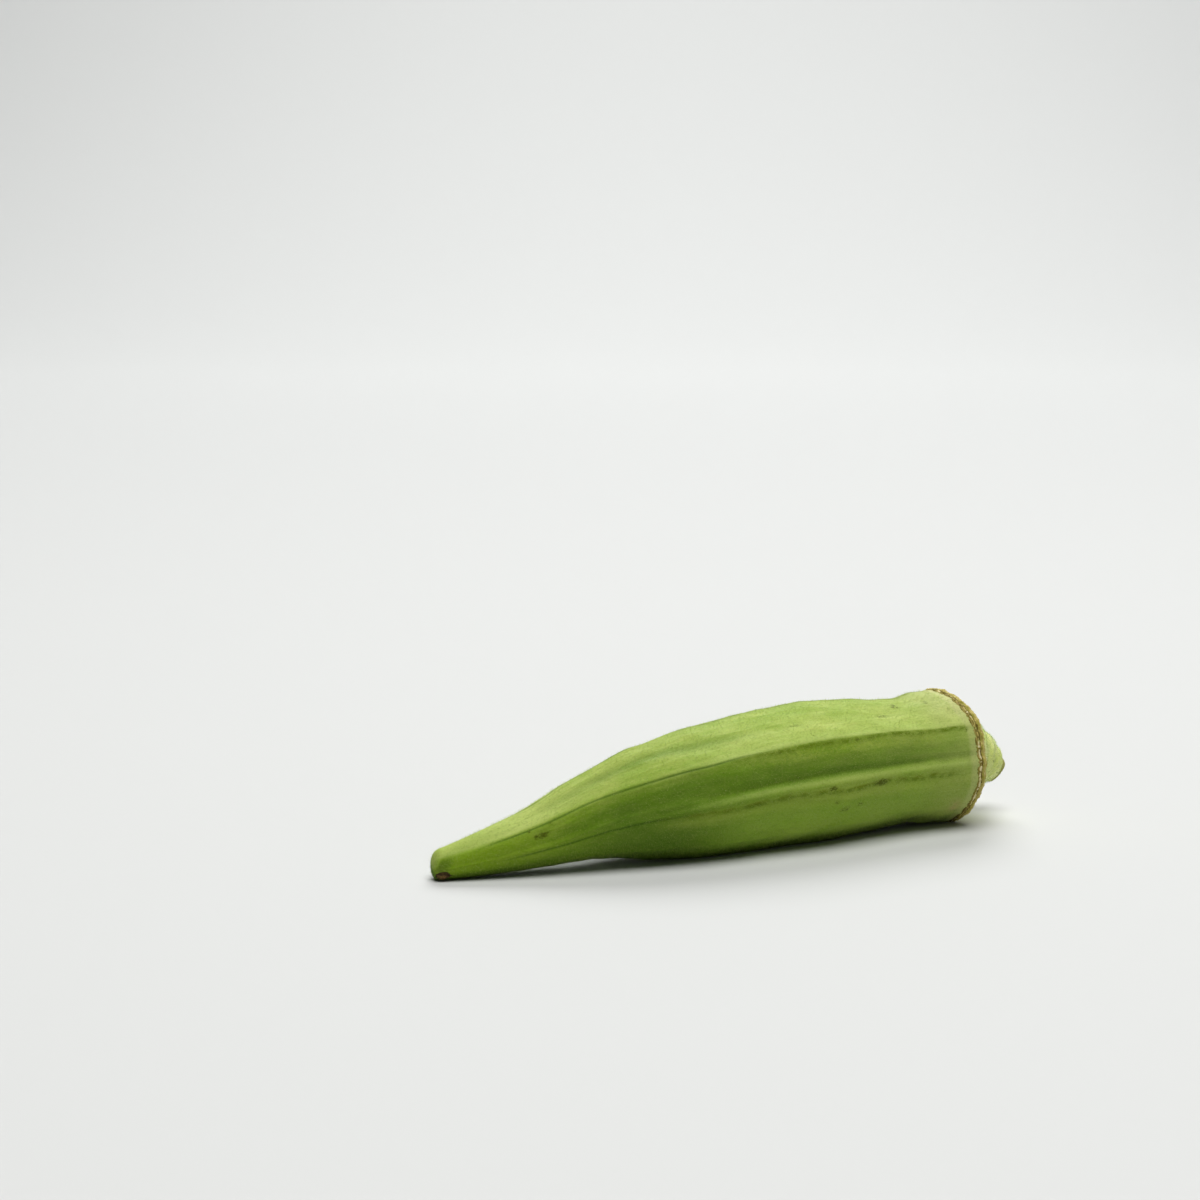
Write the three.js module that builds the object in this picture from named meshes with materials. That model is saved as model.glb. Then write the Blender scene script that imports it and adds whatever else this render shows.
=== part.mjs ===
import * as THREE from 'three';

// An okra pod as picked, lying on its side, in millimetres.
// +X runs from the beak to the cut stalk, +Z is up, and the surface below is z = 0.

// Driving dimensions
const podLength = 94;            // beak to ring scar
const capLength = 12.05;         // ring scar to the cut end of the stalk
const beakRadius = 2.55;
const bellyRadius = 11.75;
const waistRadius = 10.75;       // just before the shoulder flares to the ring
const ringRadius = 11.25;
const stalkRadius = 2.7;
const stalkDroop = 0.85;          // the stalk leaves the scar pointing a little down
const stalkBend = 2.4;            // and bends further down by its end
const stalkAside = 1.3;           // and away from the -Y side
const scarGap = 0.3;             // the narrow groove of the ring scar
const lipLength = 0.6;           // the pod's edge rolls in this far before the scar
const lipDrop = 0.4;
const beakDome = 1.8;            // how far the blunt beak end stands out
const beakBluntness = 0.6;       // below 1 the end is blunter than round
const beakLean = 0.5;            // its underside reaches further than its top
const leanEnd = 7;
const cutSlant = 0.3;            // the stalk was cut slightly aslant

// Mesh density
const rowStep = 2.35;
const widestColumn = 7;          // degrees
const domeRows = 4;
const slopeReach = 0.1;          // half the stretch that gives the middle line's direction

// The middle line of the pod. The neck bows aside and clears the surface, the belly rests on it.
const spine = [
  { along: 0, across: 0, height: 2.45, radius: beakRadius },
  { along: 8, across: -1.45, height: 3.95, radius: 3.85 },
  { along: 16, across: -2.5, height: 5.75, radius: 5.25 },
  { along: 24, across: -3.05, height: 7.95, radius: 6.95 },
  { along: 33, across: -3.3, height: 9.15, radius: 9 },
  { along: 43, across: -3.3, height: 9.8, radius: 10.55 },
  { along: 55, across: -2.7, height: 10.6, radius: 11.35 },
  { along: 66, across: -2.1, height: 11, radius: bellyRadius },
  { along: 76, across: -1.5, height: 11.05, radius: 11.2 },
  { along: 84, across: -1.25, height: 11.05, radius: waistRadius },
  { along: 90, across: -1.05, height: 11, radius: 11.15 },
  { along: podLength, across: -0.8, height: 10.95, radius: ringRadius },
];

// The ribbed section, as reach for a radius of one, by the angle up from level on the -Y side.
const section = [
  { angle: -164, reach: 0.93 },
  { angle: -146, reach: 0.995 },  // rib
  { angle: -127, reach: 0.935 },
  { angle: -108, reach: 1 },      // rib that the belly rests on
  { angle: -90, reach: 0.925 },
  { angle: -72, reach: 1 },       // rib that the belly rests on
  { angle: -44, reach: 0.96 },
  { angle: -19, reach: 0.965 },   // soft fold
  { angle: -3.5, reach: 0.954 },  // seam under the narrow ridge
  { angle: 1.5, reach: 0.97 },    // narrow ridge
  { angle: 10, reach: 0.922 },    // groove above it
  { angle: 25, reach: 0.975 },
  { angle: 38, reach: 1.018 },    // strong rib
  { angle: 55, reach: 0.935 },
  { angle: 72, reach: 0.91 },     // the broad upper face
  { angle: 89, reach: 0.935 },
  { angle: 106, reach: 1 },       // rib
  { angle: 124, reach: 0.935 },
  { angle: 142, reach: 0.995 },   // rib
  { angle: 160, reach: 0.93 },
  { angle: 178, reach: 1.015 },   // rib
];
const crestRounding = 0.9;        // degrees between the readings that round off the crests
const neckTwist = -18;            // degrees that the ribs turn round the neck
const neckEnd = 50;               // where the neck has become the belly
const ribStart = -20;             // the ribs rise over this stretch
const ribFull = 28;
const strongRib = 38;
const ribLift = 10.5;             // the strong rib runs this much higher on the neck
const liftReach = 22;
const liftStart = 12;
const liftEnd = 46;
const shoulderStart = 84;
const shoulderFade = 0.65;        // share of the ribs lost at the ring

// The cap's outline from the ring scar to the cut: a cone that hollows into the stalk.
const capOutline = [
  { along: scarGap, radius: 10.35 },
  { along: 1.1, radius: 9.85 },
  { along: 2.4, radius: 8.65 },
  { along: 4, radius: 7 },
  { along: 6, radius: 5.75 },
  { along: 8, radius: 4.8 },
  { along: 10, radius: 3.9 },
  { along: 11.3, radius: 3.1 },
  { along: capLength, radius: stalkRadius },
];
const capRibs = 0.45;             // the pod's ribs run on into the shoulder
const capRibsEnd = 6;
const capTurned = 4;              // from here the cap's rings stand square to its own middle line

const podGreen = 0x6f8f2c;
const capGreen = 0x93ab55;

const radians = THREE.MathUtils.degToRad;
const smooth = THREE.MathUtils.smoothstep;

function slopeAt(key, index) {
  const before = spine[index - 1];
  const here = spine[index];
  const after = spine[index + 1];
  if (!before) {
    return 2 * (after[key] - here[key]) / (after.along - here.along) - slopeAt(key, index + 1);
  }
  if (!after) {
    return 2 * (here[key] - before[key]) / (here.along - before.along) - slopeAt(key, index - 1);
  }
  return (after[key] - before[key]) / (after.along - before.along);
}

// A smooth curve through the spine's values of one kind.
function spineValue(key, along) {
  const beyond = spine.findIndex((stop) => stop.along > along);
  const start = beyond < 0 ? spine.length - 2 : Math.max(0, beyond - 1);
  const from = spine[start];
  const to = spine[start + 1];
  const span = to.along - from.along;
  const t = (along - from.along) / span;
  const rise = slopeAt(key, start) * span;
  const fall = slopeAt(key, start + 1) * span;
  const cube = (2 * from[key] - 2 * to[key] + rise + fall) * t ** 3;
  const square = (3 * to[key] - 3 * from[key] - 2 * rise - fall) * t ** 2;
  return cube + square + rise * t + from[key];
}

function spinePoint(along) {
  return new THREE.Vector3(along, spineValue('across', along), spineValue('height', along));
}

// The middle point at a place on the pod, with the directions forward, to the -Y side and up.
function spineFrame(along) {
  const ahead = spinePoint(Math.min(podLength, along + slopeReach));
  const behind = spinePoint(Math.max(0, along - slopeReach));
  const forward = ahead.sub(behind).normalize();
  const side = new THREE.Vector3(forward.y, -forward.x, 0).normalize();
  const up = new THREE.Vector3().crossVectors(side, forward);
  return { middle: spinePoint(along), forward, side, up };
}

// The straight face between two neighbouring points of the section.
function faceReach(angle) {
  const turned = THREE.MathUtils.euclideanModulo(angle - section[0].angle, 360) + section[0].angle;
  const next = section.findIndex((point) => point.angle > turned);
  const from = section[next < 0 ? section.length - 1 : next - 1];
  const to = next < 0 ? { angle: section[0].angle + 360, reach: section[0].reach } : section[next];
  const whole = Math.sin(radians(to.angle - from.angle));
  const nearFrom = from.reach * Math.sin(radians(turned - from.angle));
  const nearTo = to.reach * Math.sin(radians(to.angle - turned));
  return from.reach * to.reach * whole / (nearFrom + nearTo);
}

// The section's reach at an angle, with its crests rounded off by a weighted mean.
function sectionReach(angle) {
  const weights = [1, 4, 6, 4, 1];
  const readings = weights.map((weight, k) => weight * faceReach(angle + (k - 2) * crestRounding));
  return readings.reduce((sum, reading) => sum + reading) / weights.reduce((sum, weight) => sum + weight);
}

function ribShare(along) {
  const rising = smooth(along, ribStart, ribFull);
  return rising * (1 - shoulderFade * smooth(along, shoulderStart, podLength));
}

// Angles round the section, with one on every point of it and even steps between.
function columnAngles() {
  const angles = [];
  section.forEach((point, index) => {
    const next = section[index + 1] || { angle: section[0].angle + 360 };
    const steps = Math.ceil((next.angle - point.angle) / widestColumn);
    for (let k = 0; k < steps; k += 1) {
      angles.push(point.angle + (next.angle - point.angle) * k / steps);
    }
  });
  return angles;
}

const columns = columnAngles();

// One closed ring of points round the middle line, pressed flat where it meets the surface.
function ring(frame, forwardAt, radius, ribs, twist, lift) {
  return columns.map((angle) => {
    const place = radians(angle + twist);
    const near = Math.exp(-(((angle - strongRib) / liftReach) ** 2));
    const reach = radius * (1 + ribs * (sectionReach(angle - lift * near) - 1));
    const point = frame.middle.clone();
    point.addScaledVector(frame.forward, forwardAt(place));
    point.addScaledVector(frame.side, reach * Math.cos(place));
    point.addScaledVector(frame.up, reach * Math.sin(place));
    point.z = Math.max(point.z, 0);
    return point;
  });
}

// A closed skin over rings of points, with a point in the middle of each end.
function loft(rings, firstMiddle, lastMiddle) {
  const count = columns.length;
  const points = [...rings.flat(), firstMiddle, lastMiddle];
  const first = points.length - 2;
  const last = points.length - 1;
  const lastRing = (rings.length - 1) * count;
  const faces = [];
  for (let k = 0; k < count; k += 1) {
    const next = (k + 1) % count;
    for (let start = 0; start < lastRing; start += count) {
      faces.push(start + k, start + count + k, start + next);
      faces.push(start + next, start + count + k, start + count + next);
    }
    faces.push(first, k, next);
    faces.push(last, lastRing + next, lastRing + k);
  }
  const geometry = new THREE.BufferGeometry().setFromPoints(points);
  geometry.setIndex(faces);
  geometry.computeVertexNormals();
  return geometry;
}

function podGeometry() {
  const rings = [];
  const beak = spineFrame(0);
  for (let k = domeRows - 1; k > 0; k -= 1) {
    const turn = k / domeRows * Math.PI / 2;
    const setBack = -beakDome * Math.sin(turn);
    const shrink = Math.cos(turn) ** beakBluntness;
    const shift = (around) => setBack + beakLean * shrink * Math.sin(around);
    rings.push(ring(beak, shift, beakRadius * shrink, ribShare(0), neckTwist, ribLift));
  }
  const bodyLength = podLength - lipLength;
  const rows = Math.round(bodyLength / rowStep);
  for (let row = 0; row <= rows; row += 1) {
    const along = bodyLength * row / rows;
    const twist = neckTwist * (1 - smooth(along, 0, neckEnd));
    const lean = beakLean * (1 - smooth(along, 0, leanEnd));
    const shift = (around) => lean * Math.sin(around);
    const lift = ribLift * (1 - smooth(along, liftStart, liftEnd));
    rings.push(ring(spineFrame(along), shift, spineValue('radius', along), ribShare(along), twist, lift));
  }
  const end = spineFrame(podLength);
  rings.push(ring(end, () => 0, ringRadius - lipDrop, ribShare(podLength), 0, 0));
  const beakEnd = beak.middle.clone().addScaledVector(beak.forward, -beakDome);
  return loft(rings, beakEnd, end.middle);
}

// The cap's own middle line, from the pod's last frame.
function capPoint(end, along) {
  const share = along / capLength;
  const point = end.middle.clone().addScaledVector(end.forward, along);
  point.addScaledVector(end.side, -stalkAside * share ** 2);
  return point.addScaledVector(end.up, -stalkDroop * share - stalkBend * share ** 2);
}

function capFrame(end, along) {
  const heading = capPoint(end, along + slopeReach).sub(capPoint(end, along - slopeReach)).normalize();
  const forward = end.forward.clone().lerp(heading, smooth(along, scarGap, capTurned)).normalize();
  const side = new THREE.Vector3().crossVectors(forward, end.up).normalize();
  const up = new THREE.Vector3().crossVectors(side, forward);
  return { middle: capPoint(end, along), forward, side, up };
}

function stalkCapGeometry() {
  const end = spineFrame(podLength);
  const rings = capOutline.map((stop) => {
    const ribs = capRibs * (1 - smooth(stop.along, 0, capRibsEnd));
    const slant = cutSlant * smooth(stop.along, capRibsEnd, capLength);
    return ring(capFrame(end, stop.along), (place) => slant * Math.sin(place), stop.radius, ribs, 0, 0);
  });
  return loft(rings, capPoint(end, scarGap), capPoint(end, capLength));
}

const pod = new THREE.Mesh(
  podGeometry(),
  new THREE.MeshStandardMaterial({ color: podGreen, roughness: 0.6, metalness: 0 }),
);
pod.name = 'pod';

const stalkCap = new THREE.Mesh(
  stalkCapGeometry(),
  new THREE.MeshStandardMaterial({ color: capGreen, roughness: 0.65, metalness: 0 }),
);
stalkCap.name = 'stalk_cap';

// The frame's origin is under the middle of the whole.
const group = new THREE.Group();
group.add(pod, stalkCap);
const middle = new THREE.Box3().setFromObject(group).getCenter(new THREE.Vector3());
group.position.set(-middle.x, -middle.y, 0);
group.updateMatrixWorld(true);

export default group;
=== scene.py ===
import math

import bpy
import numpy as np
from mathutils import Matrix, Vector
from mathutils.bvhtree import BVHTree


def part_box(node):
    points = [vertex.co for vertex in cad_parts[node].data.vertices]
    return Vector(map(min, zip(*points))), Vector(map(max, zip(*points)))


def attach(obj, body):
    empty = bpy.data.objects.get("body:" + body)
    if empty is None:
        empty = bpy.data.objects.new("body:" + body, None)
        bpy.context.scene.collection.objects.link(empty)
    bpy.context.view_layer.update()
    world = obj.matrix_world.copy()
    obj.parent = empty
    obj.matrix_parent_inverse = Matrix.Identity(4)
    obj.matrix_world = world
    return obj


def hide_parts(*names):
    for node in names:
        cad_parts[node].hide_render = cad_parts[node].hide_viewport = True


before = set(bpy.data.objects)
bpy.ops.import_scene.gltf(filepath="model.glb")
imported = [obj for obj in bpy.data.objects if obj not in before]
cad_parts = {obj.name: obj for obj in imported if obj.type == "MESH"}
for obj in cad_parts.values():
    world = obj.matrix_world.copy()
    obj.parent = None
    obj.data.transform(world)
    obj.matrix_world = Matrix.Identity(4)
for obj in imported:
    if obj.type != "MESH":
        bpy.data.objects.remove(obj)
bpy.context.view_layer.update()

mm = 0.001

# Lengths are in millimetres here and turned to metres when a mesh is made.
shape = {
    "length": 94.0,  # beak to ring scar
    "spine": [  # along, across, height, radius
        (0, 0, 2.45, 2.55), (8, -1.45, 3.95, 3.85), (16, -2.5, 5.75, 5.25), (24, -3.05, 7.95, 6.95),
        (33, -3.3, 9.15, 9.0), (43, -3.3, 9.8, 10.55), (55, -2.7, 10.6, 11.35), (66, -2.1, 11.0, 11.75),
        (76, -1.5, 11.05, 11.2), (84, -1.25, 11.05, 10.75), (90, -1.05, 11.0, 11.15),
        (94, -0.8, 10.95, 11.25),
    ],
    "section": [  # angle up from level on the -Y side, reach for a radius of one
        (-164, 0.93), (-146, 0.995), (-127, 0.935), (-108, 1.0), (-90, 0.925), (-72, 1.0), (-44, 0.96),
        (-19, 0.965), (-3.5, 0.954), (1.5, 0.97), (10, 0.922), (25, 0.975), (38, 1.018), (55, 0.935),
        (72, 0.91), (89, 0.935), (106, 1.0), (124, 0.935), (142, 0.995), (160, 0.93), (178, 1.015),
    ],
    "crestRounding": 0.9,
    "neckTwist": -18.0, "neckEnd": 50.0,
    "ribStart": -20.0, "ribFull": 28.0,
    "strongRib": 38.0, "ribLift": 10.5, "liftReach": 22.0, "liftStart": 12.0, "liftEnd": 46.0,
    "shoulderStart": 84.0, "shoulderFade": 0.65,
    "beakDome": 1.8, "beakBluntness": 0.6, "beakLean": 0.5, "leanEnd": 7.0,
    "lipLength": 0.9, "lipDrop": 0.55,
    "slopeReach": 0.1,  # half the stretch that gives the middle line's direction
    "rows": 330, "domeRows": 16, "lipRows": 7, "columns": 288,
}


def ease(value, low, high):
    t = np.clip((value - low) / (high - low), 0, 1)
    return t * t * (3 - 2 * t)


def within(value, rise, fall):  # 0 before the rise and after the fall, 1 between them
    return ease(value, *rise) * (1 - ease(value, *fall))


def hump(apart, reach, power=2):  # 1 in the middle, fading out past its reach
    return np.exp(-(apart / reach) ** power)


def angleApart(angle, other):
    return np.mod(angle - other + 180, 360) - 180


def evenAngles(columns):
    return np.arange(columns) * 360 / columns


def unit(vectors):
    return vectors / np.linalg.norm(vectors, axis=-1, keepdims=True)


def throughPoints(places, values, at):  # a smooth curve through unevenly spaced values
    places, values, at = (np.asarray(item, float) for item in (places, values, at))
    steps = np.diff(places)
    slopes = np.empty_like(values)
    slopes[1:-1] = (values[2:] - values[:-2]) / (places[2:] - places[:-2])
    slopes[0] = 2 * (values[1] - values[0]) / steps[0] - slopes[1]
    slopes[-1] = 2 * (values[-1] - values[-2]) / steps[-1] - slopes[-2]
    index = np.clip(np.searchsorted(places, at, side="right") - 1, 0, len(places) - 2)
    step = steps[index]
    t = (at - places[index]) / step
    start, end = values[index], values[index + 1]
    rise, fall = slopes[index] * step, slopes[index + 1] * step
    return ((2 * start - 2 * end + rise + fall) * t ** 3
            + (3 * end - 3 * start - 2 * rise - fall) * t ** 2 + rise * t + start)


def faceReach(angle):  # straight faces between the section's points
    points = shape["section"] + [(shape["section"][0][0] + 360, shape["section"][0][1])]
    angles = np.array([point[0] for point in points], float)
    reaches = np.array([point[1] for point in points])
    turned = np.mod(angle - angles[0], 360) + angles[0]
    index = np.clip(np.searchsorted(angles, turned, side="right") - 1, 0, len(points) - 2)
    low, high = angles[index], angles[index + 1]
    near, far = reaches[index], reaches[index + 1]
    whole = np.sin(np.radians(high - low))
    return near * far * whole / (near * np.sin(np.radians(turned - low))
                                 + far * np.sin(np.radians(high - turned)))


def sectionReach(angle):  # a weighted mean of five readings rounds the crests
    weights = (1, 4, 6, 4, 1)
    shifts = [(k - 2) * shape["crestRounding"] for k in range(5)]
    return sum(weight * faceReach(angle + shift) for weight, shift in zip(weights, shifts)) / sum(weights)


def spineAt(along):
    columns = np.array(shape["spine"], float).T
    return [throughPoints(columns[0], columns[k], along) for k in (1, 2, 3)]


def spineFrame(along):  # middle, forward, side (towards -Y) and up at each place
    along = np.asarray(along, float)
    ahead = np.clip(along + shape["slopeReach"], 0, shape["length"])
    behind = np.clip(along - shape["slopeReach"], 0, shape["length"])
    place = [np.stack([at, *spineAt(at)[:2]], -1) for at in (along, ahead, behind)]
    forward = unit(place[1] - place[2])
    side = unit(np.stack([forward[..., 1], -forward[..., 0], np.zeros_like(forward[..., 0])], -1))
    return place[0], forward, side, np.cross(side, forward)


def ribTwist(along):
    return shape["neckTwist"] * (1 - ease(along, 0, shape["neckEnd"]))


def ribShare(along):
    fade = shape["shoulderFade"] * ease(along, shape["shoulderStart"], shape["length"])
    return ease(along, shape["ribStart"], shape["ribFull"]) * (1 - fade)


def neckLift(along):  # the strong rib runs higher on the neck
    return shape["ribLift"] * (1 - ease(along, shape["liftStart"], shape["liftEnd"]))


def ribReach(along, angles):  # one row for each place, one column for each angle
    near = hump(angleApart(angles, shape["strongRib"]), shape["liftReach"])
    reach = sectionReach(angles[None, :] - neckLift(along)[:, None] * near[None, :])
    return 1 + ribShare(along)[:, None] * (reach - 1)


def ripple(along, angle, seed, wave, turns, count=14):  # smooth noise round the skin, about -1 to 1
    rng = np.random.default_rng(seed)
    total = 0
    for _ in range(count):
        pitch = rng.uniform(0.5, 1.5) / wave
        around = rng.integers(0, turns + 1) * rng.choice((-1, 1))
        total = total + np.sin(2 * math.pi * (along * pitch + around * angle / 360 + rng.random()))
    return total / math.sqrt(count / 2)


def ripples(along, angle, waves, count=14):
    return sum(height * ripple(along, angle, seed, wave, turns, count) for height, wave, turns, seed in waves)


def skinPoints(place, radius, angles, twist, forwardShift=0):
    middle, forward, side, up = (part[:, None, :] for part in place)
    turn = np.radians(angles[None, :] + np.asarray(twist)[:, None])
    outward = side * np.cos(turn)[..., None] + up * np.sin(turn)[..., None]
    points = middle + outward * radius[..., None]
    return points + forward * np.broadcast_to(forwardShift, radius.shape)[..., None]


def inFrame(points):  # from the middle line's start to the frame, and never below the floor
    points = points + start
    points[..., 2] = np.maximum(points[..., 2], 0)
    return points


def makeObject(name, vertices, faces, values=None):
    mesh = bpy.data.meshes.new(name)
    mesh.from_pydata((np.asarray(vertices) * mm).tolist(), [], faces)
    mesh.update()
    for valueName, numbers in (values or {}).items():
        layer = mesh.attributes.new(valueName, "FLOAT", "POINT")
        layer.data.foreach_set("value", np.asarray(numbers, np.float32).ravel())
    mesh.polygons.foreach_set("use_smooth", [True] * len(mesh.polygons))
    piece = bpy.data.objects.new(name, mesh)
    bpy.context.scene.collection.objects.link(piece)
    return piece


def closedSkin(name, points, firstMiddle, lastMiddle, values):  # rings of points with both ends shut
    rows, columns = points.shape[:2]
    vertices = np.concatenate([points.reshape(-1, 3), [firstMiddle, lastMiddle]])
    grid = np.arange(rows * columns).reshape(rows, columns)
    right = np.roll(grid, -1, axis=1)
    quads = np.stack([grid[:-1], grid[1:], right[1:], right[:-1]], -1).reshape(-1, 4).tolist()
    first, last = rows * columns, rows * columns + 1
    ends = [(first, a, b) for a, b in zip(grid[0].tolist(), right[0].tolist())]
    ends += [(last, b, a) for a, b in zip(grid[-1].tolist(), right[-1].tolist())]
    spread = {}
    for valueName, numbers in values.items():
        numbers = np.broadcast_to(numbers, (rows, columns))
        spread[valueName] = np.concatenate([numbers.ravel(), [numbers[0].mean(), numbers[-1].mean()]])
    return makeObject(name, vertices, quads + ends, spread)


def closedBand(name, points, values):  # a hoop: the last ring of points joins the first
    grid = np.arange(points.shape[0] * points.shape[1]).reshape(points.shape[:2])
    right, below = np.roll(grid, -1, axis=1), np.roll(grid, -1, axis=0)
    quads = np.stack([grid, below, np.roll(below, -1, axis=1), right], -1).reshape(-1, 4).tolist()
    spread = {name: np.broadcast_to(numbers, grid.shape) for name, numbers in values.items()}
    return makeObject(name, points.reshape(-1, 3), quads, spread)


def alongProfile(profile, rows, closed=False):  # even steps along a run of corners
    corners = np.array(profile + profile[:1] if closed else profile, float)
    walked = np.concatenate([[0], np.cumsum(np.linalg.norm(np.diff(corners, axis=0), axis=1))])
    at = np.linspace(0, walked[-1], rows, endpoint=not closed)
    return [np.interp(at, walked, corners[:, k])[:, None] for k in (0, 1)]


# The camera stands a little above the pod, with the stalk end turned away.
cameraPlace = {
    "fromBeak": (-185.1, -390.7, 104.6),  # millimetres from the start of the pod's middle line
    "heading": 28.6, "dip": 8.0, "lens": 85.0, "sensor": 36.0, "clip": (0.01, 20),
}


def beakStart():  # where the middle line starts in the frame
    dome = spineFrame(np.array([0.0]))
    angles = evenAngles(360)
    alongs = np.linspace(0, shape["length"], 400)  # close enough to find the widest place
    radius = spineAt(alongs)[2][:, None] * ribReach(alongs, angles)
    points = skinPoints(spineFrame(alongs), radius, angles, ribTwist(alongs))
    nose = dome[0][0] - dome[1][0] * shape["beakDome"]
    low, high = (np.array(corner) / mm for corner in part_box("pod"))
    startY = (low[1] + high[1]) / 2 - (points[..., 1].min() + points[..., 1].max()) / 2
    return np.array([low[0] - nose[0], startY, 0])


start = beakStart()
print("middle line starts at", start.round(3).tolist())


def placeCamera():
    heading, dip = math.radians(cameraPlace["heading"]), math.radians(cameraPlace["dip"])
    look = Vector((math.sin(heading) * math.cos(dip), math.cos(heading) * math.cos(dip), -math.sin(dip)))
    data = bpy.data.cameras.new("camera")
    data.lens = cameraPlace["lens"]
    data.sensor_width = cameraPlace["sensor"]
    data.clip_start, data.clip_end = cameraPlace["clip"]
    camera = bpy.data.objects.new("camera", data)
    bpy.context.scene.collection.objects.link(camera)
    camera.location = Vector((start + np.array(cameraPlace["fromBeak"])) * mm)
    camera.rotation_euler = look.to_track_quat("-Z", "Y").to_euler()
    bpy.context.scene.camera = camera


placeCamera()
print("camera placed")


def newMaterial(name, **settings):  # uniform values stay on the shader's own sockets
    finish = bpy.data.materials.new(name)
    finish.use_nodes = True
    shader = finish.node_tree.nodes["Principled BSDF"]
    for socket, value in settings.items():
        shader.inputs[socket.replace("_", " ")].default_value = value
    return finish


def feed(finish, target, value):  # a socket takes a number, a colour or another socket
    if isinstance(value, bpy.types.NodeSocket):
        finish.node_tree.links.new(value, target)
    else:
        target.default_value = value


def addNode(finish, kind, values, output, **settings):  # values go to its sockets, settings to the node
    node = finish.node_tree.nodes.new("ShaderNode" + kind)
    for name, value in settings.items():
        setattr(node, name, value)
    for socket, value in values.items():
        feed(finish, node.inputs[socket], value)
    return node.outputs[output]


def meshValue(finish, name):
    return addNode(finish, "Attribute", {}, "Fac", attribute_name=name)


def calculate(finish, operation, *values, clamp=False):
    return addNode(finish, "Math", dict(enumerate(values)), 0, operation=operation, use_clamp=clamp)


def times(finish, first, second, clamp=False):
    return calculate(finish, "MULTIPLY", first, second, clamp=clamp)


def timesPlus(finish, value, factor, extra):
    return calculate(finish, "MULTIPLY_ADD", value, factor, extra)


def between(finish, value, low, high):  # 0 at low, 1 at high, whichever is the larger
    values = {"Value": value, "From Min": low, "From Max": high}
    return addNode(finish, "MapRange", values, "Result", interpolation_type="SMOOTHSTEP")


def layered(finish, colours, base, layers):  # each layer's amount and colour, from the bottom up
    colour = colours[base]
    for amount, name in layers:
        colour = addNode(finish, "Mix", {0: amount, 6: colour, 7: colours[name]}, 2, data_type="RGBA")
    return colour


def millimetres(finish, alongScale=1):  # the object's own coordinates, in millimetres
    place = addNode(finish, "TexCoord", {}, "Object")
    scale = (alongScale / mm, 1 / mm, 1 / mm)
    return addNode(finish, "Mapping", {"Scale": scale, "Vector": place}, "Vector")


def noise(finish, size, alongScale=1, detail=3.0, rough=0.5):  # a scale below 1 draws it out
    values = {"Scale": 1 / size, "Detail": detail, "Roughness": rough}
    return addNode(finish, "TexNoise", {"Vector": millimetres(finish, alongScale), **values}, "Fac")


def spots(finish, size, reach, solid=0.35):  # round spots, solid over that share of their reach
    values = {"Vector": millimetres(finish), "Scale": 1 / size}
    return between(finish, addNode(finish, "TexVoronoi", values, "Distance"), reach, reach * solid)


def bumps(finish, height, depth, strength=1.0, under=None):
    values = {"Strength": strength, "Distance": depth * mm, "Height": height}
    if under is not None:
        values["Normal"] = under
    return addNode(finish, "Bump", values, "Normal")


def paint(finish, colour, normal):
    shader = finish.node_tree.nodes["Principled BSDF"]
    feed(finish, shader.inputs["Base Color"], colour)
    feed(finish, shader.inputs["Normal"], normal)
    return finish


def dress(piece, finish, slot, *nodes):  # finish, body, slot (not used) and the CAD node it stands for
    piece.data.materials.append(finish)
    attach(piece, "root")
    if nodes:
        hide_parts(*nodes)
    print(piece.name, "made with", len(piece.data.vertices), "vertices")
    return piece


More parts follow.
